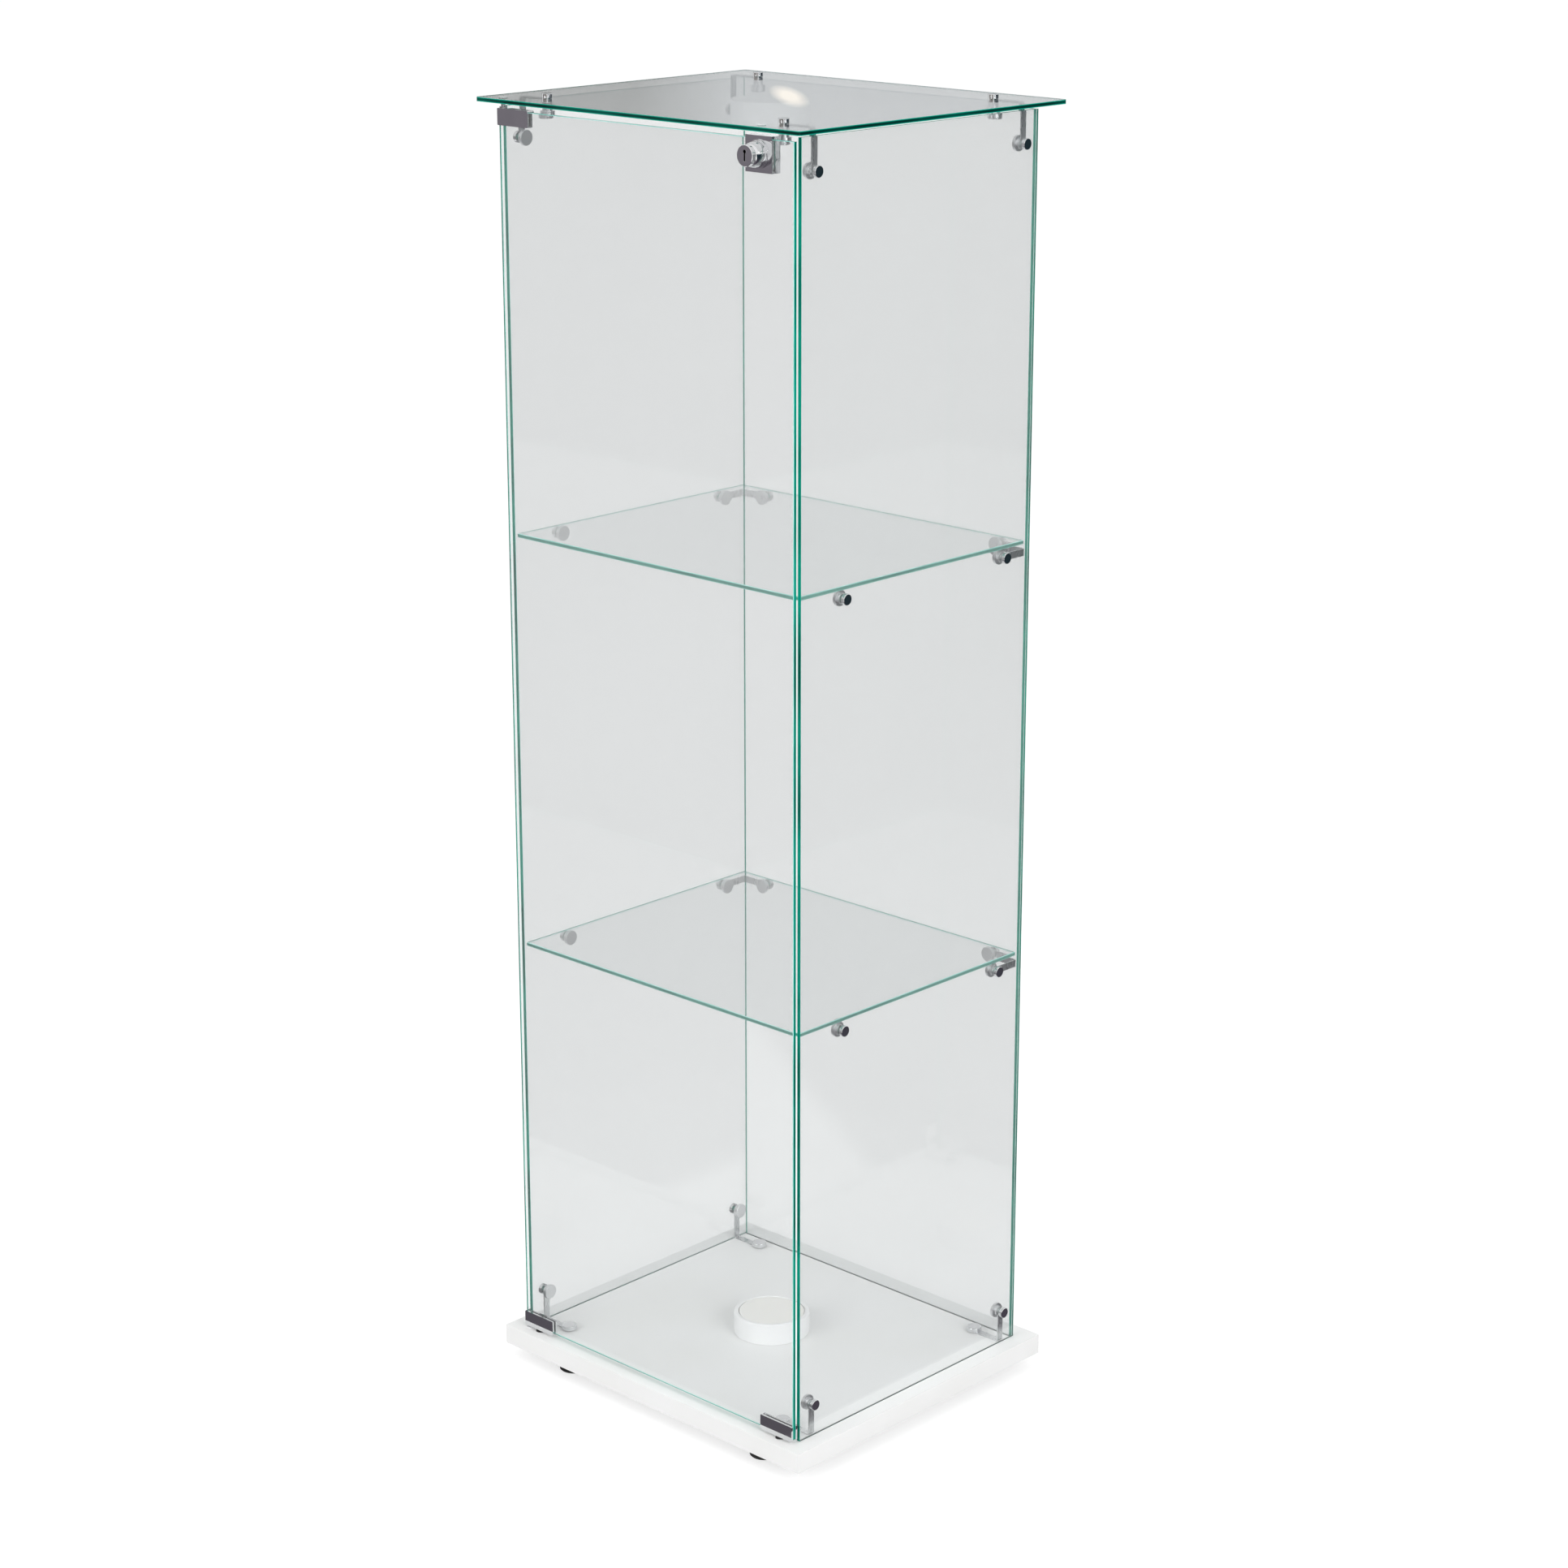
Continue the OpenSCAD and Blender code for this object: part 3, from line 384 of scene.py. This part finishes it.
def glassPane(node):
    low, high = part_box(node)
    size = high - low
    thin = min(range(3), key=lambda i: size[i])
    shape = mergedCopy(node)
    rims = [edge for edge in sharpEdges(shape)
            if any(abs(face.normal[thin]) > paneSizes["flat"] for face in edge.link_faces)]
    bmesh.ops.bevel(shape, geom=rims, offset=paneSizes["arrisMm"] * mm, offset_type="OFFSET", segments=1,
                    profile=0.5, affect="EDGES", clamp_overlap=True, material=paneSlots["arris"])
    for face in shape.faces:
        if face.material_index != paneSlots["arris"]:
            flat = abs(face.normal[thin]) > paneSizes["flat"]
            face.material_index = paneSlots["face" if flat else "edge"]
    # A hair's breadth of air between the sheet and the metal that lies on it, as real pieces have
    middle = (low[thin] + high[thin]) / 2
    rim = shape.verts.layers.float.new("rim")
    for vert in shape.verts:
        vert[rim] = math.copysign(1, vert.co[thin] - middle)
        vert.co[thin] -= vert[rim] * paneSizes["airMm"] * mm
    edge = {"top_panel": topEdge, "back_panel": seamedEdge, "lower_shelf": shelfEdgeLightened,
            "upper_shelf": shelfEdgeLightened}.get(node, paneEdge)
    return finishPiece(shape, node + "_glass", node, [paneFace, edge, paneArris], paneSizes["smoothDegrees"])


for node in paneNodes:
    glassPane(node)
print("panes", len(paneNodes))

softSizes = {
    "base_board": 0.8, "top_hinge_clamp": 0.3, "bottom_hinge_clamp": 0.3, "strike_clamp": 0.3, "feet": 0.4,
    "lock_case": 0.3, "lock_back_plate": 0.5, "lock_collar": 0.15, "lock_cylinder": 0.25,
    "lower_light_housing": 0.9, "upper_light_housing": 0.9, "lower_light_lens": 0.4, "upper_light_lens": 0.4,
    "hinge_rest_pad": 0.25, "catch_magnet": 0.25,
}
bracketSoftMm = 0.2
for node, widthMm in softSizes.items():
    softened(node, widthMm)
bracketNodes = [node for node in frame["nodes"] if "_bracket_" in node and slotOf[node] == "bracket_chrome"]
for node in bracketNodes:
    softened(node, bracketSoftMm)
print("softened pieces", len(softSizes) + len(bracketNodes))


# Turned fittings: one lathe-like tree, set on every seat of a set of bolts, nuts or screws

def turnedTree(name, labels, sides):
    tree = bpy.data.node_groups.new(name, "GeometryNodeTree")
    tree.interface.new_socket(name="Seats", in_out="INPUT", socket_type="NodeSocketGeometry")
    tree.interface.new_socket(name="Finish", in_out="INPUT", socket_type="NodeSocketMaterial")
    for label in labels:
        tree.interface.new_socket(name=label + " Rise", in_out="INPUT", socket_type="NodeSocketFloat")
        tree.interface.new_socket(name=label + " Radius", in_out="INPUT", socket_type="NodeSocketFloat")
    tree.interface.new_socket(name="Fittings", in_out="OUTPUT", socket_type="NodeSocketGeometry")
    given = addNode(tree, "NodeGroupInput").outputs
    foot = addNode(tree, "GeometryNodeMeshCircle", {"Vertices": sides},
                   {"Radius": given[labels[0] + " Radius"]}, fill_type="NGON").outputs["Mesh"]
    shape, top = foot, None
    for before, label in zip(labels, labels[1:]):
        links = {"Mesh": shape, "Offset Scale": given[label + " Rise"]}
        if top is not None:
            links["Selection"] = top
        drawn = addNode(tree, "GeometryNodeExtrudeMesh", {"Offset": [0, 0, 1], "Individual": False}, links)
        top = drawn.outputs["Top"]
        ratio = addNode(tree, "ShaderNodeMath", operation="DIVIDE",
                        links={0: given[label + " Radius"], 1: given[before + " Radius"]})
        scaled = addNode(tree, "GeometryNodeScaleElements", links={
            "Geometry": drawn.outputs["Mesh"], "Selection": top, "Scale": ratio.outputs[0]})
        shape = scaled.outputs["Geometry"]
    closing = addNode(tree, "GeometryNodeFlipFaces", links={"Mesh": foot}).outputs["Mesh"]
    joined = addNode(tree, "GeometryNodeJoinGeometry")
    for part in (shape, closing):
        tree.links.new(part, joined.inputs["Geometry"])
    welded = addNode(tree, "GeometryNodeMergeByDistance", {"Distance": weldDistance},
                     {"Geometry": joined.outputs[0]})
    facing = addNode(tree, "GeometryNodeInputNamedAttribute", {"Name": "facing"}, data_type="FLOAT_VECTOR")
    turn = addNode(tree, "FunctionNodeAlignRotationToVector", links={"Vector": facing.outputs["Attribute"]},
                   axis="Z")
    placed = addNode(tree, "GeometryNodeInstanceOnPoints", links={
        "Points": given["Seats"], "Instance": welded.outputs[0], "Rotation": turn.outputs["Rotation"]})
    real = addNode(tree, "GeometryNodeRealizeInstances", links={"Geometry": placed.outputs["Instances"]})
    painted = addNode(tree, "GeometryNodeSetMaterial", links={
        "Geometry": real.outputs[0], "Material": given["Finish"]})
    out = addNode(tree, "NodeGroupOutput")
    tree.links.new(painted.outputs[0], out.inputs["Fittings"])
    return tree


def solidsOf(node):
    # Lowest and highest corner of each separate solid in a node
    shape = bmesh.new()
    shape.from_mesh(frame["nodes"][node].data)
    bmesh.ops.remove_doubles(shape, verts=shape.verts, dist=weldDistance)
    left, boxes = set(shape.verts), []
    while left:
        island = [left.pop()]
        for vert in island:
            near = [edge.other_vert(vert) for edge in vert.link_edges]
            fresh = [other for other in near if other in left]
            left.difference_update(fresh)
            island += fresh
        spots = [vert.co.copy() for vert in island]
        boxes.append((Vector([min(s[i] for s in spots) for i in range(3)]),
                      Vector([max(s[i] for s in spots) for i in range(3)])))
    shape.free()
    return sorted(boxes, key=lambda box: tuple(round(v, 4) for v in box[0]))


def turnedMesh(name, seats, facings, steps, finish, sides):
    mesh = bpy.data.meshes.new(name + "_seats")
    mesh.from_pydata(seats, [], [])
    attribute = mesh.attributes.new("facing", "FLOAT_VECTOR", "POINT")
    for i, facing in enumerate(facings):
        attribute.data[i].vector = facing
    holder = bpy.data.objects.new(name, mesh)
    bpy.context.scene.collection.objects.link(holder)
    tree = turnedTree(name, [label for label, rise, radius in steps], sides)
    modifier = holder.modifiers.new("turned", "NODES")
    modifier.node_group = tree
    given = {"Finish": finish}
    for label, rise, radius in steps:
        given[label + " Rise"] = rise * mm
        given[label + " Radius"] = radius * mm
    for item in tree.interface.items_tree:
        if item.in_out == "INPUT" and item.name in given:
            modifier[item.identifier] = given[item.name]
    made = bpy.data.meshes.new_from_object(holder.evaluated_get(bpy.context.evaluated_depsgraph_get()))
    bpy.data.objects.remove(holder)
    return made


def turnedSet(node, facingOf, stepsOf, sides=32):
    # One piece for every bolt or nut of a node. Each length among them gets its own run of the tree
    finish, byLength = finishes["nut_satin" if node.endswith("_nuts") else slotOf[node]], {}
    for low, high in solidsOf(node):
        middle = (low + high) / 2
        facing = Vector(facingOf(middle))
        reach = sum(abs(f) * (h - l) / 2 for f, l, h in zip(facing, low, high))
        byLength.setdefault(round(2 * reach / mm, 2), []).append((middle - facing * reach, facing))
    shape = bmesh.new()
    for long, places in sorted(byLength.items()):
        seats, facings = zip(*places)
        shape.from_mesh(turnedMesh(node + "_turned", seats, facings, stepsOf(long), finish, sides))
    bmesh.ops.recalc_face_normals(shape, faces=shape.faces)
    return finishPiece(shape, node + "_turned", node, [finish])


backPins = {"beforePanelMm": 12, "halfSpreadMm": 160}


def outward(middle):
    # Straight out through the wall of the case that a fitting is in: the back panel's or a side panel's
    panelLow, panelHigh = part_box("back_panel")
    nearBack = middle.y > panelLow.y - backPins["beforePanelMm"] * mm
    if nearBack and abs(middle.x) < backPins["halfSpreadMm"] * mm:
        return (0, 1, 0)
    return (math.copysign(1, middle.x), 0, 0)


def inward(middle):
    return [-v for v in outward(middle)]


shank = {"tipR": 1.7, "r": 2.0, "chamfer": 0.3}  # millimetres, as all the fittings' sizes are


def shankSteps(long):
    return [("Tip", 0, shank["tipR"]), ("Thread", shank["chamfer"], shank["r"]),
            ("Shank", long - shank["chamfer"], shank["r"])]


def roundedEnd(d, t, edge, rimRise=0.5, rimIn=0.3):
    # A disc whose far edge is broken in two steps
    return [("Foot", 0, d / 2), ("Side", t - edge, d / 2), ("Rim", edge * rimRise, d / 2 - edge * rimIn),
            ("Crown", edge * (1 - rimRise), d / 2 - edge)]


def boltSteps(long, headD, headH, edge):
    return shankSteps(long - headH) + roundedEnd(headD, headH, edge)


def nutSteps(neckD, neckT, discD, discT, edge):
    return [("Seat", 0, neckD / 2), ("Neck", neckT, neckD / 2)] + roundedEnd(discD, discT, edge)


def capSteps(long, headD, headH, edge):
    return shankSteps(long - headH) + roundedEnd(headD, headH, edge, 0.6, 0.35)


pinSizes = {"headD": 10.4, "headH": 3.5, "edge": 0.4}
topPinSizes = {"headD": 9.5, "headH": 3.9, "edge": 0.4}
capSizes = {"headD": 15, "headH": 4.3, "edge": 1.0}
nutSizes = {"neckD": 10, "neckT": 3.2, "discD": 14.6, "discT": 3, "edge": 0.4}
topNutSizes = {"neckD": 9.5, "neckT": 6.3, "discD": 13.5, "discT": 6.5, "edge": 0.5}

turnedSet("top_panel_bolts", lambda middle: (0, 0, 1), lambda long: boltSteps(long, **topPinSizes))
turnedSet("top_panel_nuts", lambda middle: (0, 0, -1), lambda long: nutSteps(**topNutSizes))
turnedSet("corner_bolts", outward, lambda long: boltSteps(long, **pinSizes))
turnedSet("corner_nuts", inward, lambda long: nutSteps(**nutSizes))
turnedSet("shelf_bolts", outward, lambda long: boltSteps(long, **pinSizes))
turnedSet("shelf_nuts", inward, lambda long: nutSteps(**nutSizes))
turnedSet("base_bracket_screws", lambda middle: (0, 0, 1), lambda long: capSteps(long, **capSizes))
print("turned fittings")

for node, obj in frame["nodes"].items():
    if not obj.hide_render:
        obj.material_slots[0].material = finishes[slotOf[node]]


# Studio

def card(name, spots, faces, material):
    mesh = bpy.data.meshes.new(name)
    mesh.from_pydata(spots, [], faces)
    mesh.materials.append(material)
    obj = bpy.data.objects.new(name, mesh)
    bpy.context.scene.collection.objects.link(obj)
    return obj


def seesBackground(tree):
    # 1 for rays that show the background: straight, mirrored or through glass
    path = addNode(tree, "ShaderNodeLightPath").outputs
    first = addNode(tree, "ShaderNodeMath", operation="MAXIMUM",
                    links={0: path["Is Camera Ray"], 1: path["Is Glossy Ray"]})
    return addNode(tree, "ShaderNodeMath", operation="MAXIMUM",
                   links={0: first.outputs[0], 1: path["Is Transmission Ray"]}).outputs[0]


studio = {"floorHalf": 40.0, "floorTones": ("#bcbcbc", "#bdbdbd"), "floorGlow": 0.62, "worldLight": 0.775}

floorMaterial, floorTree, floorShader, floorPlace = newMaterial("studio floor", **{
    "Roughness": 1.0, "Specular IOR Level": 0.0, "Emission Color": [1, 1, 1, 1]})
mottle(floorTree, floorShader, noiseAt(floorTree, floorPlace, 400), studio["floorTones"])
glow = addNode(floorTree, "ShaderNodeMath", {1: studio["floorGlow"]}, {0: seesBackground(floorTree)},
               operation="MULTIPLY")
floorTree.links.new(glow.outputs[0], floorShader.inputs["Emission Strength"])
half = studio["floorHalf"]
card("studio_floor", [(-half, -half, 0), (half, -half, 0), (half, half, 0), (-half, half, 0)], [(0, 1, 2, 3)],
     floorMaterial)


def onlyMirrored(obj, throughGlass=False):
    obj.visible_camera = obj.visible_diffuse = obj.visible_shadow = obj.visible_volume_scatter = False
    obj.visible_transmission = throughGlass


darkCards = {
    "reach": 14.0, "wallTop": 3.2, "lift": 0.002, "footGap": 1.02, "spokes": 13,
    "toneAt": (0.02, 0.25, 0.96, 1.0),
    "frontTones": ("#5d5960", "#7f7a81", "#7f7a81", "#7d7672"),
    "rightTones": ("#504a54", "#253238", "#253238", "#2a3742"),
    "cornerTones": ("#67636a", "#67636a", "#67636a", "#67636a"), "nearReach": (1.1, 2.0), "nearLift": 0.003,
}


def wedge(name, fromDegrees, toDegrees, tones, throughGlass=False, nearOnly=False):
    # Dark card on the floor round part of the cabinet's foot, with a low wall at its far end. Only rays that
    # a mirror has turned see it, and it fades out at both sides. A near one has no wall and fades out at its
    # far end too. Degrees from -Y towards +X
    material, tree, place = bareMaterial(name + " card")
    far = addNode(tree, "ShaderNodeVectorMath", operation="LENGTH", links={0: place}).outputs["Value"]
    share = rangeOf(tree, far, 0, 1, 0, darkCards["reach"])
    tone = colourBetween(tree, share, list(zip(darkCards["toneAt"], tones)))
    path = addNode(tree, "ShaderNodeLightPath").outputs
    turned = addNode(tree, "ShaderNodeMath", {1: 0.5}, {0: path["Glossy Depth"]}, operation="GREATER_THAN")
    inside = addNode(tree, "ShaderNodeAttribute", attribute_name="inside").outputs["Fac"]
    seen = addNode(tree, "ShaderNodeMath", links={0: turned.outputs[0], 1: inside}, operation="MULTIPLY")
    shine = addNode(tree, "ShaderNodeEmission", links={"Color": tone})
    clear = addNode(tree, "ShaderNodeBsdfTransparent")
    mixed = addNode(tree, "ShaderNodeMixShader", links={
        0: seen.outputs[0], 1: clear.outputs[0], 2: shine.outputs[0]})
    setSurface(tree, mixed.outputs[0])
    low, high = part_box("base_board")
    if nearOnly:
        ends = [(reach, reach, darkCards["nearLift"]) for reach in darkCards["nearReach"]]
    else:
        reach = darkCards["reach"]
        ends = [(reach, reach, z) for z in (darkCards["lift"], darkCards["wallTop"])]
    rings = [(high.x * darkCards["footGap"], high.y * darkCards["footGap"], ends[0][2])] + ends
    count = darkCards["spokes"]
    angles = [math.radians(fromDegrees + (toDegrees - fromDegrees) * i / (count - 1)) for i in range(count)]
    spots = [(math.sin(a) * wide, -math.cos(a) * deep, z) for wide, deep, z in rings for a in angles]
    starts = [ring + i for ring in (0, count) for i in range(count - 1)]
    faces = [(first, first + 1, first + count + 1, first + count) for first in starts]
    obj = card(name, spots, faces, material)
    attribute = obj.data.attributes.new("inside", "FLOAT", "POINT")
    for i in range(len(spots)):
        fades = i % count in (0, count - 1) or (nearOnly and i >= 2 * count)
        attribute.data[i].value = 0 if fades else 1
    onlyMirrored(obj, throughGlass)


# Metal behind glass shows all but the rear one as well
wedge("front_card", -68, 36, darkCards["frontTones"], throughGlass=True)
wedge("right_card", 51, 180, darkCards["rightTones"], throughGlass=True)
wedge("corner_card", 25, 63, darkCards["cornerTones"], throughGlass=True, nearOnly=True)
wedge("rear_card", 184, 268, darkCards["frontTones"])


backScreen = {
    "middle": (-4.2, 4.4, 0), "facing": (0.6886, -0.7252), "width": 6.0, "foot": 0.0, "top": 4.5,
    "tones": [(0.0, "#666a69"), (0.44, "#696d6c"), (0.485, "#b0b4b7"), (1.0, "#b3b7ba")],
}
paintedLampGlint = {"across": 0.042, "height": 1.864, "wide": 0.055, "tall": 0.026, "lean": 0.6, "soft": 0.35,
            "colour": "#fff6e8", "strength": 1.15}


def screen(name, glint, middle, facing, width, foot, top, tones):
    # Upright card that only mirrors see. Tones run from its left to its right as the cabinet sees it
    material, tree, place = bareMaterial(name + " card")
    middle, across = Vector(middle), Vector((-facing[1], facing[0], 0)).normalized()
    dotted = addNode(tree, "ShaderNodeVectorMath", {1: across}, {0: place}, operation="DOT_PRODUCT")
    along, at = dotted.outputs["Value"], middle.dot(across)
    share = rangeOf(tree, along, 0, 1, at - width / 2, at + width / 2)
    # A painted glint: a soft warm spot at a height on it, leaning to one side, which the top glass mirrors as
    # the highlight of a lamp
    height = addNode(tree, "ShaderNodeSeparateXYZ", links={"Vector": place}).outputs["Z"]
    rise = rangeOf(tree, height, -1, 1, glint["height"] - glint["tall"], glint["height"] + glint["tall"])
    centre = at + glint["across"]
    side = rangeOf(tree, along, -1, 1, centre - glint["wide"], centre + glint["wide"])
    for value in (rise, side):
        value.node.clamp = False
    leant = addNode(tree, "ShaderNodeMath", {1: -glint["lean"]}, {0: side, 2: rise}, operation="MULTIPLY_ADD")
    spot = addNode(tree, "ShaderNodeCombineXYZ", links={"X": side, "Y": leant.outputs[0]})
    off = addNode(tree, "ShaderNodeVectorMath", operation="LENGTH", links={0: spot.outputs[0]})
    lit = rangeOf(tree, off.outputs["Value"], 1, 0, glint["soft"], 1.0)
    tone = addNode(tree, "ShaderNodeMix", {"B": [c * glint["strength"] for c in linear(glint["colour"])]}, {
        "Factor": lit, "A": colourBetween(tree, share, tones)}, data_type="RGBA", clamp_result=False)
    shine = addNode(tree, "ShaderNodeEmission", links={"Color": tone.outputs["Result"]})
    setSurface(tree, shine.outputs[0])
    left, right = middle - across * width / 2, middle + across * width / 2
    spots = [(end.x, end.y, z) for end, z in ((left, foot), (right, foot), (right, top), (left, top))]
    onlyMirrored(card(name, spots, [(0, 1, 2, 3)], material))


screen("back_screen", paintedLampGlint, **backScreen)

world = bpy.data.worlds.new("studio")
bpy.context.scene.world = world
world.use_nodes = True
worldTree = world.node_tree
worldTree.nodes.clear()
level = addNode(worldTree, "ShaderNodeMapRange", {"To Min": studio["worldLight"], "To Max": 1.0},
                {"Value": seesBackground(worldTree)})
sky = addNode(worldTree, "ShaderNodeBackground", {"Color": [1, 1, 1, 1]},
              {"Strength": level.outputs["Result"]})
addNode(worldTree, "ShaderNodeOutputWorld", links={"Surface": sky.outputs[0]})


def softbox(name, place, aim, size, watts):
    data = bpy.data.lights.new(name, "AREA")
    data.shape = "SQUARE"
    data.size = size
    data.energy = watts
    lamp = bpy.data.objects.new(name, data)
    bpy.context.scene.collection.objects.link(lamp)
    lamp.location = place
    lamp.rotation_euler = (Vector(aim) - Vector(place)).to_track_quat("-Z", "Y").to_euler()
    lamp.visible_glossy = False  # or the polished pins would show it as a white patch


softboxes = {
    "front_softbox": {"place": (-0.6, -4.0, 1.9), "aim": (0, 0, 0.4), "size": 2.4, "watts": 73},
    "right_softbox": {"place": (4.0, -0.8, 1.9), "aim": (0, 0, 0.4), "size": 2.4, "watts": 92},
}
for name, sizes in softboxes.items():
    softbox(name, **sizes)

view = {"place": (2.2021, -2.3014, 1.57), "aim": (0.00948, 0.00785, 0.6009), "lens": 80.68, "sensor": 36.0,
        "far": 200}
cameraData = bpy.data.cameras.new("photo_view")
cameraData.lens = view["lens"]
cameraData.sensor_width = view["sensor"]
cameraData.clip_end = view["far"]
camera = bpy.data.objects.new("photo_view", cameraData)
bpy.context.scene.collection.objects.link(camera)
camera.location = view["place"]
camera.rotation_euler = (Vector(view["aim"]) - Vector(view["place"])).to_track_quat("-Z", "Y").to_euler()
bpy.context.scene.camera = camera
bpy.context.scene.view_settings.view_transform = "Standard"
print("studio")
